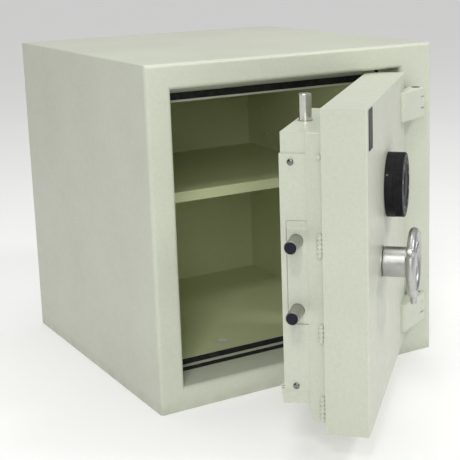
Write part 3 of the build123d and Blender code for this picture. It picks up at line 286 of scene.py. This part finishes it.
INDEX = figure_paint("worn_index_paint", (0.07, 0.07, 0.065), (0.20, 0.20, 0.19))
PIN_HOLE_PAINTED_SHADE = dark_bore()
WELD = weld_paint()
PLATE = turned_metal("plate_metal", (0.045, 0.045, 0.042), 0.45, UP, 0.3)
BRASS = turned_metal("brass", (0.78, 0.60, 0.28), 0.32, (0, 0, 0), 0.4)

NODE_MATERIALS = {
    PAINT: (
        "outer_casing", "back_plate", "base_plate", "frame_left", "frame_right", "frame_top",
        "frame_bottom", "door_pan", "hinge_block_upper", "hinge_block_lower", "hinge_lug_upper",
        "hinge_lug_lower", "door_back_plate", "step_pan", "bolt_box", "bolt_box_cover",
        "edge_plate", "edge_guide_plate", "box_foot", "anchor_sleeve", "anchor_cap",
    ),
    INSIDE_SHADE_TINT: ("inner_liner", "shelf"),
    FILLING: (
        "fill_left", "fill_right", "fill_top", "fill_bottom", "fill_back", "door_infill",
        "step_infill",
    ),
    SEAL_RUBBER_AND_GAP_SHADE: ("outer_seal", "inner_seal"),
    STEEL: (
        "hinge_washers", "bolt_keepers", "shelf_clips", "dog_bars", "spindle_sleeves",
        "box_blocks", "bolt_carriage", "lock_case", "lock_cover", "relocker", "retaining_ring",
        "handle_spindle", "drive_pinion", "bolt_collar", "dial_spindle",
    ),
    PIN_STEEL: ("hinge_pins",),
    WELD: ("weld_beads",),
    SIDE_CHROME: ("side_bolts",),
    UPRIGHT_CHROME: ("top_bolt",),
    SCREW: ("door_screws", "bolt_screws"),
    SATIN: ("handwheel", "handle_collar"),
    DIAL: ("dial_ring", "dial_knob"),
    PLATE: ("name_plate",),
    BRASS: ("wheel_pack", "lock_bolt"),
}


def dress_nodes():
    """Gives every CAD node that is shown its material."""
    for material, names in NODE_MATERIALS.items():
        for name in names:
            mesh = NODES[name].data
            mesh.materials.clear()
            mesh.materials.append(material)


def second_material(name, material, wanted):
    """Gives a second material to the faces that pass a test."""
    mesh = NODES[name].data
    mesh.materials.append(material)
    for polygon in mesh.polygons:
        polygon.material_index = 1 if wanted(polygon) else 0


PIN_AXIS = Vector(JOINTS["door_hinge"]["pos_m"][:2])
PIN_HOLE_R = 8.6 * MM


def faces_pin_hole(face):
    """True for the upright wall of the pin's hole in a hinge block."""
    return abs(face.normal.z) < 0.5 and (face.center.xy - PIN_AXIS).length < PIN_HOLE_R


# ------------------------------------------------------------------ mesh helpers


def new_piece(name, mesh, body, material, smooth=True):
    """An object of its own that rides a body and takes the material given."""
    piece = bpy.data.objects.new(name, mesh)
    bpy.context.scene.collection.objects.link(piece)
    mesh.materials.clear()
    mesh.materials.append(material)
    if smooth:
        mesh.shade_smooth()
    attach(piece, body)
    return piece


def mesh_from(name, make, matrix=Matrix.Identity(4)):
    """A mesh that make(bmesh) fills in millimetres, in a local frame set by the matrix."""
    mesh = bpy.data.meshes.new(name)
    shape = bmesh.new()
    make(shape)
    bmesh.ops.recalc_face_normals(shape, faces=shape.faces)
    shape.to_mesh(mesh)
    shape.free()
    mesh.transform(matrix @ Matrix.Scale(MM, 4))
    return mesh


def lathe(shape, profile, steps, reach=lambda turn, radius, height: radius):
    """Turns a profile of (radius, height) round z; reach may vary the radius with the turn."""
    rings = []
    for radius, height in profile:
        if radius == 0:
            rings.append([shape.verts.new((0, 0, height))])
            continue
        ring = []
        for step in range(steps):
            turn = 2 * math.pi * step / steps
            far = reach(turn, radius, height)
            ring.append(shape.verts.new((far * math.cos(turn), far * math.sin(turn), height)))
        rings.append(ring)
    for lower, upper in zip(rings, rings[1:]):
        for step in range(steps):
            after = (step + 1) % steps
            corners = [lower[step % len(lower)], lower[after % len(lower)]]
            corners += [upper[after % len(upper)], upper[step % len(upper)]]
            unique = list(dict.fromkeys(corners))
            if len(unique) > 2:
                shape.faces.new(unique)


def tube(shape, stations, steps=20):
    """A tube along local x through stations of (x, height, radius across, radius in height)."""
    rings = []
    for x, height, across, tall in stations:
        ring = []
        for step in range(steps):
            turn = 2 * math.pi * step / steps
            point = (x, across * math.cos(turn), height + tall * math.sin(turn))
            ring.append(shape.verts.new(point))
        rings.append(ring)
    for lower, upper in zip(rings, rings[1:]):
        for step in range(steps):
            after = (step + 1) % steps
            shape.faces.new((lower[step], lower[after], upper[after], upper[step]))
    shape.faces.new(rings[0])
    shape.faces.new(rings[-1])
    return [vert for ring in rings for vert in ring]


def crisp(piece, angle_deg=35):
    """Smooth shading that keeps edges sharper than the angle."""
    mesh = piece.data
    mesh.shade_smooth()
    mesh.set_sharp_from_angle(angle=math.radians(angle_deg))


def apply_modifiers(piece):
    """Replaces the mesh by what its modifiers make of it."""
    graph = bpy.context.evaluated_depsgraph_get()
    graph.update()
    mesh = bpy.data.meshes.new_from_object(piece.evaluated_get(graph))
    piece.modifiers.clear()
    piece.data = mesh


# ------------------------------------------------------------------ handwheel

RIM_R, RIM_TUBE, RIM_HEIGHT = 46.6, 7.0, 48.0
RIM_SIDES, RIM_STEPS, HUB_STEPS = 24, 144, 96
SPOKE_TURNS_DEG = (-90, 30, 150)
CAST_VOXEL, CAST_SMOOTHING = 1.1 * MM, 5
HUB_PROFILE = (
    (0, 2.4), (22.6, 2.4), (23.4, 3.2), (23.4, 37.0), (22.4, 39.2), (19.6, 40.0), (18.2, 42.0),
    (17.9, 48.0), (16.2, 50.8), (11.5, 51.7), (0, 51.9),
)
# Spoke stations: distance from the axis, height, half width, half thickness
SPOKE_STATIONS = (
    (10, 46.0, 7.5, 5.6), (18, 46.6, 6.4, 5.0), (28, 47.4, 5.0, 4.6), (38, 48.0, 5.4, 5.0),
    (52, 48.0, 5.8, 5.6), (58, 48.0, 5.4, 5.4), (64.0, 48.0, 5.3, 5.3), (65.8, 48.0, 4.4, 4.4),
)


def make_handwheel():
    """Cast wheel: the parts are merged by a fine remesh, so their joints get soft roots."""

    def fill(shape):
        lathe(shape, HUB_PROFILE, HUB_STEPS)
        rim = []
        for step in range(RIM_SIDES):
            turn = 2 * math.pi * step / RIM_SIDES
            rim.append((RIM_R + RIM_TUBE * math.cos(turn), RIM_HEIGHT + RIM_TUBE * math.sin(turn)))
        lathe(shape, rim + rim[:1], RIM_STEPS)
        for turn_deg in SPOKE_TURNS_DEG:
            turn = Matrix.Rotation(math.radians(turn_deg), 4, "Z")
            bmesh.ops.transform(shape, matrix=turn, verts=tube(shape, SPOKE_STATIONS))
        bmesh.ops.remove_doubles(shape, verts=shape.verts, dist=0.001)

    mesh = mesh_from("handwheel_cast", fill, door_matrix(HANDLE_CENTRE))
    wheel = new_piece("handwheel_cast", mesh, "handle", SATIN)
    remesh = wheel.modifiers.new("remesh", "REMESH")
    remesh.mode = "VOXEL"
    remesh.voxel_size = CAST_VOXEL
    remesh.use_smooth_shade = True
    smooth = wheel.modifiers.new("smooth", "SMOOTH")
    smooth.factor = 0.5
    smooth.iterations = CAST_SMOOTHING
    apply_modifiers(wheel)
    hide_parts("handwheel")


# ------------------------------------------------------------------ dial

DIAL_R, RING_TOP, KNOB_BOTTOM, KNOB_TOP = 51.0, 13.0, 13.3, 28.0
RIBS, RIB_STEPS, RIB_DEPTH = 120, 6, 0.9
RIB_RADIUS, RIB_LOW, RIB_HIGH = 50.6, 14.5, 27.0
KNOB_PROFILE = (
    (18.0, 1.0), (18.0, KNOB_BOTTOM), (50.7, KNOB_BOTTOM), (50.75, 14.0), (50.75, 14.5),
    (50.75, 14.9), (50.75, 26.2), (50.4, 26.6), (50.1, 27.3), (49.0, 27.9), (48.2, KNOB_TOP),
    (33.0, KNOB_TOP), (32.2, 27.4), (24.0, 27.0), (19.5, 27.0), (18.5, 27.6), (17.5, KNOB_TOP),
    (0, KNOB_TOP),
)
RING_PROFILE = (
    (18.5, 0.0), (50.6, 0.0), (DIAL_R, 0.5), (DIAL_R, 12.6), (50.6, RING_TOP), (44.0, RING_TOP),
    (43.0, 12.6), (18.5, 12.6), (18.5, 0.0),
)
RING_STEPS = 160
# Index marks on the ring's side: turn in degrees, height, width, length
INDEX_MARKS = ((90, 6.0, 1.6, 7.0), (152, 4.4, 3.0, 3.0))
INDEX_PROUD, INDEX_INNER = 0.08, 0.996
TICK_R, TICK_THICK = 46.6, 0.12
# Length and half width of a tick at the tens, at the fives and at the rest
TICK_TEN, TICK_FIVE, TICK_ONE = (4.6, 0.42), (3.4, 0.26), (2.4, 0.26)
FIGURE_R, FIGURE_SIZE, FIGURE_HALF_THICK, FIGURE_LIFT = 37.8, 6.2, 0.06, 0.02


def rib(turn, radius, height):
    """Shallow half-round ribs round the knob's grip."""
    if radius < RIB_RADIUS or not RIB_LOW < height < RIB_HIGH:
        return radius
    return radius - RIB_DEPTH * (1 - abs(math.sin(RIBS * turn / 2)))


def make_dial_knob():
    """The ribbed grip that turns."""

    def fill(shape):
        lathe(shape, KNOB_PROFILE, RIBS * RIB_STEPS, rib)

    mesh = mesh_from("dial_grip", fill, door_matrix(DIAL_CENTRE))
    knob = new_piece("dial_grip", mesh, "dial", DIAL)
    crisp(knob, 40)
    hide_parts("dial_knob")


def make_dial_ring():
    """The fixed ring under the grip."""

    def fill(shape):
        lathe(shape, RING_PROFILE, RING_STEPS)

    mesh = mesh_from("dial_base_ring", fill, door_matrix(DIAL_CENTRE))
    ring = new_piece("dial_base_ring", mesh, "door", DIAL)
    crisp(ring)
    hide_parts("dial_ring")


def make_index():
    """Index marks on the fixed ring: a bar at the top and a dot on the side wall."""

    def fill(shape):
        far = DIAL_R + INDEX_PROUD
        for turn_deg, height, wide, tall in INDEX_MARKS:
            quad = []
            for side, up in ((-1, -1), (1, -1), (1, 1), (-1, 1)):
                turn = math.radians(turn_deg) + side * wide / 2 / DIAL_R
                quad.append((far * math.cos(turn), far * math.sin(turn), height + up * tall / 2))
            outer = [shape.verts.new(point) for point in quad]
            inner = [shape.verts.new((x * INDEX_INNER, y * INDEX_INNER, z)) for x, y, z in quad]
            shape.faces.new(outer)
            shape.faces.new(inner)
            for a, b in ((0, 1), (1, 2), (2, 3), (3, 0)):
                shape.faces.new((outer[a], outer[b], inner[b], inner[a]))

    mesh = mesh_from("dial_index", fill, door_matrix(DIAL_CENTRE))
    new_piece("dial_index", mesh, "door", INDEX, smooth=False)


def make_figures():
    """A hundred ticks and the tens from 0 to 90, standing just proud of the knob's face."""

    def ticks(shape):
        for index in range(100):
            length, half = TICK_ONE
            if index % 10 == 0:
                length, half = TICK_TEN
            elif index % 5 == 0:
                length, half = TICK_FIVE
            turn = Matrix.Rotation(math.pi / 2 - 2 * math.pi * index / 100, 4, "Z")
            size = Matrix.Diagonal((length, 2 * half, TICK_THICK, 1))
            place = turn @ Matrix.Translation((TICK_R - length / 2, 0, KNOB_TOP)) @ size
            bmesh.ops.create_cube(shape, size=1.0, matrix=place)

    door = door_matrix(DIAL_CENTRE)
    mesh = mesh_from("dial_ticks", ticks, door)
    new_piece("dial_ticks", mesh, "dial", FIGURES, smooth=False)
    graph = bpy.context.evaluated_depsgraph_get()
    for index in range(0, 100, 10):
        curve = bpy.data.curves.new(f"figure_{index}", "FONT")
        curve.body = str(index)
        curve.size = FIGURE_SIZE
        curve.extrude = FIGURE_HALF_THICK
        curve.align_x = "CENTER"
        curve.align_y = "CENTER"
        text = bpy.data.objects.new(f"figure_curve_{index}", curve)
        bpy.context.scene.collection.objects.link(text)
        graph.update()
        mesh = bpy.data.meshes.new_from_object(text.evaluated_get(graph))
        bpy.data.objects.remove(text)
        turn = Matrix.Rotation(-2 * math.pi * index / 100, 4, "Z")
        place = turn @ Matrix.Translation((0, FIGURE_R, KNOB_TOP + FIGURE_LIFT))
        mesh.transform(door @ Matrix.Scale(MM, 4) @ place)
        new_piece(f"dial_figure_{index}", mesh, "dial", FIGURES, smooth=False)


# ------------------------------------------------------------------ welds and screw heads

BEAD_PITCH, BEAD_WIDE, BEAD_PROUD, BEAD_SHIFT = 6.5, 5.0, 2.0, 3.4
STEPS_PER_DROP, BEAD_SIDES = 6, 16
# A run's end size and its growth per step, the drops' depth, and a slow swell along the run
BEAD_END, BEAD_GROWTH, DROP_DEPTH, SWELL_DEPTH, SWELL_RATE = 0.35, 0.22, 0.4, 0.15, 0.9
HEAD_R, HEAD_BASE, HEAD_TOP, HEAD_SKIRT = 4.85, 1.2, 3.2, 1.0
HEAD_RINGS, HEAD_STEPS = 26, 96
SLOT_HALF, SLOT_REACH, SLOT_DEPTH = 0.7, 2.8, 0.9
EDGE_HEAD_HEIGHT, SAME_FACE = 2.2, 1.0
FIRST_TILT_DEG, TILT_STEP_DEG = 30, 35


def islands(mesh):
    """The points of each separate piece of a mesh, the lowest piece first."""
    shape = bmesh.new()
    shape.from_mesh(mesh)
    bmesh.ops.remove_doubles(shape, verts=shape.verts, dist=1e-6)
    left = set(shape.verts)
    pieces = []
    for start in shape.verts:
        if start not in left:
            continue
        left.remove(start)
        pile, found = [start], []
        while pile:
            vert = pile.pop()
            found.append(vert.co.copy())
            for edge in vert.link_edges:
                other = edge.other_vert(vert)
                if other in left:
                    left.remove(other)
                    pile.append(other)
        pieces.append(found)
    shape.free()
    return sorted(pieces, key=lambda points: min(point.z for point in points))


def span(points, direction):
    """Lowest and highest position of points along a direction, in millimetres."""
    values = [point.dot(direction) / MM for point in points]
    return min(values), max(values)


def make_welds():
    """Runs of overlapping drops along the joint between the slab and the step."""
    beads = islands(NODES["weld_beads"].data)

    def fill(shape):
        for index, points in enumerate(beads):
            low, high = span(points, UP)
            steps = int((high - low) / BEAD_PITCH * STEPS_PER_DROP)
            stations = []
            for step in range(steps + 1):
                along = (high - low) * step / steps
                wave = abs(math.sin(math.pi * along / BEAD_PITCH + index))
                taper = min(1.0, BEAD_END + min(step, steps - step) * BEAD_GROWTH)
                swell = 1 - SWELL_DEPTH + SWELL_DEPTH * math.sin(along * SWELL_RATE + 2 * index)
                size = taper * (1 - DROP_DEPTH + DROP_DEPTH * wave) * swell
                stations.append((low + along, 0.0, BEAD_PROUD * size, BEAD_WIDE * size))
            right, out = (sum(span(points, direction)) / 2 for direction in (RIGHT, OUT))
            verts = tube(shape, stations, BEAD_SIDES)
            bmesh.ops.translate(shape, verts=verts, vec=(0, right, out - BEAD_SHIFT))

    turn = Matrix((UP, RIGHT, OUT)).transposed().to_4x4()
    mesh = mesh_from("weld_runs", fill, turn)
    piece = new_piece("weld_runs", mesh, "door", WELD)
    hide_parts("weld_beads")


def make_screw_heads():
    """Pan heads with a cross recess over the two screws of the edge plate."""

    def fill(shape):
        profile = [(HEAD_R, HEAD_BASE - HEAD_SKIRT), (HEAD_R, HEAD_BASE)]
        for ring in range(1, HEAD_RINGS):
            part = 1 - ring / HEAD_RINGS
            dome = (HEAD_TOP - HEAD_BASE) * math.sqrt(1 - part ** 2)
            profile.append((HEAD_R * part, HEAD_BASE + dome))
        profile.append((0, HEAD_TOP))
        lathe(shape, profile, HEAD_STEPS)
        for vert in shape.verts:
            x, y = abs(vert.co.x), abs(vert.co.y)
            if min(x, y) < SLOT_HALF and max(x, y) < SLOT_REACH:
                vert.co.z = HEAD_TOP - SLOT_DEPTH

    screws = islands(NODES["door_screws"].data)
    face = max(span(points, -RIGHT)[1] for points in screws)
    heads = [points for points in screws if face - span(points, -RIGHT)[1] < SAME_FACE]
    for index, points in enumerate(heads):
        out, up = (sum(span(points, direction)) / 2 for direction in (OUT, UP))
        low = span(points, -RIGHT)[1] - EDGE_HEAD_HEIGHT
        centre = (OUT * out + UP * up - RIGHT * low) * MM
        place = Matrix((OUT, UP, -RIGHT)).transposed().to_4x4()
        tilt = Matrix.Rotation(math.radians(FIRST_TILT_DEG + TILT_STEP_DEG * index), 4, "Z")
        mesh = mesh_from(f"edge_screw_{index}", fill, Matrix.Translation(centre) @ place @ tilt)
        crisp(new_piece(f"edge_screw_{index}", mesh, "door", SCREW), 40)


# ------------------------------------------------------------------ bolt skins

BOLT_SKIN_R, BOLT_END_R, BOLT_CHAMFER, SKIN_DEPTH = 10.03, 8.7, 1.3, 4.0
BOLT_END_PROFILE = ((BOLT_END_R, 0.02), (BOLT_END_R - 0.3, 0.03), (0, 0.03))
SIDE_BOLT_REACH, TOP_BOLT_REACH = 41.0, 45.5
BOLT_STEPS, FACES_OUT = 96, 0.99


def make_bolt_skin(name, points, axis, reach, body, material, end):
    """A round skin with a chamfered end over the part of a bolt that stands out."""
    across = (OUT, UP) if axis == -RIGHT else (RIGHT, OUT)
    tip = span(points, axis)[1]
    near = [point for point in points if tip - point.dot(axis) / MM < reach / 2]
    middles = [sum(span(near, direction)) / 2 for direction in across]
    centre = (across[0] * middles[0] + across[1] * middles[1] + axis * tip) * MM

    def fill(shape):
        side = ((BOLT_SKIN_R, -reach - SKIN_DEPTH), (BOLT_SKIN_R, -BOLT_CHAMFER))
        lathe(shape, side + BOLT_END_PROFILE, BOLT_STEPS)

    turn = Matrix((across[0], axis.cross(across[0]), axis)).transposed().to_4x4()
    mesh = mesh_from(name, fill, Matrix.Translation(centre) @ turn)
    skin = new_piece(name, mesh, body, material)
    mesh.materials.append(end)
    for polygon in mesh.polygons:
        flat = polygon.normal.dot(axis) > FACES_OUT
        polygon.material_index = 1 if flat else 0
    crisp(skin, 30)


def make_bolt_skins():
    """Skins for the two side bolts and the top bolt."""
    side = (-RIGHT, SIDE_BOLT_REACH, "side_bolt_set", SIDE_CHROME, DARK_END)
    for index, points in enumerate(islands(NODES["side_bolts"].data)):
        make_bolt_skin(f"side_bolt_skin_{index}", points, *side)
    (points,) = islands(NODES["top_bolt"].data)
    top = (UP, TOP_BOLT_REACH, "top_bolt_set", UPRIGHT_CHROME, SIDE_CHROME)
    make_bolt_skin("top_bolt_skin", points, *top)


# ------------------------------------------------------------------ stage

FLOOR_GLOW, FLOOR_HALF, FLOOR_DROP = 0.35, 30.0, 0.0002
LAMP_REACH, LAMP_AIM, LAMP_COLOUR = 3.0, (-0.05, -0.3, 0.3), (1.0, 1.0, 0.98)
# A dark flag stands on the left: where it starts and is full, and the light outside and in it
FLAG_DIRECTION = (-0.985, -0.12, 0.12)
FLAG_SHADE = {"From Min": 0.80, "From Max": 0.94, "To Min": 0.37, "To Max": 0.03}
# Name, direction it stands in, side of its square, power
LAMPS = (
    ("key", (-0.43, -0.55, 0.72), 0.5, 17),
    ("face", (0.50, -0.48, 0.73), 0.5, 23),
    ("top", (0.0, 0.15, 1.0), 1.8, 36),
    ("front", (-0.50, -0.80, 0.38), 1.2, 19),
)


def make_floor():
    """A wide floor just below the base."""
    shape = bmesh.new()
    bmesh.ops.create_grid(shape, x_segments=4, y_segments=4, size=FLOOR_HALF)
    mesh = bpy.data.meshes.new("floor")
    shape.to_mesh(mesh)
    shape.free()
    mesh.materials.append(floor_paper())
    floor = bpy.data.objects.new("floor", mesh)
    floor.location.z = -FLOOR_DROP
    bpy.context.scene.collection.objects.link(floor)


def make_light(name, direction, size, power):
    """A square lamp that stands in a direction from the aim and faces it."""
    light = bpy.data.lights.new(name, "AREA")
    light.shape = "RECTANGLE"
    light.size, light.size_y = size, size
    light.energy = power
    light.color = LAMP_COLOUR
    aim = Vector(LAMP_AIM)
    lamp = bpy.data.objects.new(name, light)
    lamp.location = aim + LAMP_REACH * Vector(direction).normalized()
    lamp.rotation_euler = (aim - lamp.location).to_track_quat("-Z", "Y").to_euler()
    bpy.context.scene.collection.objects.link(lamp)


def make_lights():
    """White studio with a dark flag on the left and soft lamps above, in front and at the door."""
    scene = bpy.context.scene
    scene.view_settings.view_transform = "Standard"
    world = bpy.data.worlds.new("studio")
    scene.world = world
    world.use_nodes = True
    tree = world.node_tree
    background = tree.nodes["Background"]
    background.inputs["Color"].default_value = (1.0, 1.0, 1.0, 1.0)
    facing = tree.nodes.new("ShaderNodeVectorMath")
    facing.operation = "DOT_PRODUCT"
    facing.inputs[1].default_value = FLAG_DIRECTION
    shade = tree.nodes.new("ShaderNodeMapRange")
    for key, value in FLAG_SHADE.items():
        shade.inputs[key].default_value = value
    direction = tree.nodes.new("ShaderNodeTexCoord").outputs["Generated"]
    tree.links.new(direction, facing.inputs[0])
    tree.links.new(facing.outputs["Value"], shade.inputs["Value"])
    tree.links.new(shade.outputs["Result"], background.inputs["Strength"])
    for lamp in LAMPS:
        make_light(*lamp)


def make_camera():
    """The scene's camera, turned by yaw and pitch and then rolled."""
    yaw, pitch, roll = (math.radians(v) for v in (YAW_DEG, PITCH_DEG, ROLL_DEG))
    forward = Vector((
        math.sin(yaw) * math.cos(pitch), math.cos(yaw) * math.cos(pitch), math.sin(pitch)
    ))
    level = Vector((math.cos(yaw), -math.sin(yaw), 0))
    upright = level.cross(forward)
    right = math.cos(roll) * level + math.sin(roll) * upright
    up = math.cos(roll) * upright - math.sin(roll) * level
    data = bpy.data.cameras.new("camera")
    data.lens = LENS_MM
    data.sensor_width = SENSOR_MM
    data.shift_x, data.shift_y = SHIFT
    camera = bpy.data.objects.new("camera", data)
    turn = Matrix((right, up, -forward)).transposed().to_4x4()
    camera.matrix_world = Matrix.Translation(CAMERA_PLACE) @ turn
    bpy.context.scene.collection.objects.link(camera)
    bpy.context.scene.camera = camera


make_camera()
make_lights()
make_floor()
dress_nodes()
second_material("side_bolts", DARK_END, lambda face: face.normal.dot(-RIGHT) > 0.9)
# Painted shade: the guide plate's side faces take the black seal rubber, so the gap round the plate
# reads dark.
second_material("edge_guide_plate", SEAL_RUBBER_AND_GAP_SHADE, lambda face: face.normal.dot(-RIGHT) < 0.5)
# Painted shade: the walls of the pin holes in the hinge blocks are made dark, so the holes read
# dark.
for name in ("hinge_block_upper", "hinge_block_lower"):
    second_material(name, PIN_HOLE_PAINTED_SHADE, faces_pin_hole)
make_handwheel()
make_dial_ring()
make_dial_knob()
make_index()
make_figures()
make_welds()
make_screw_heads()
make_bolt_skins()
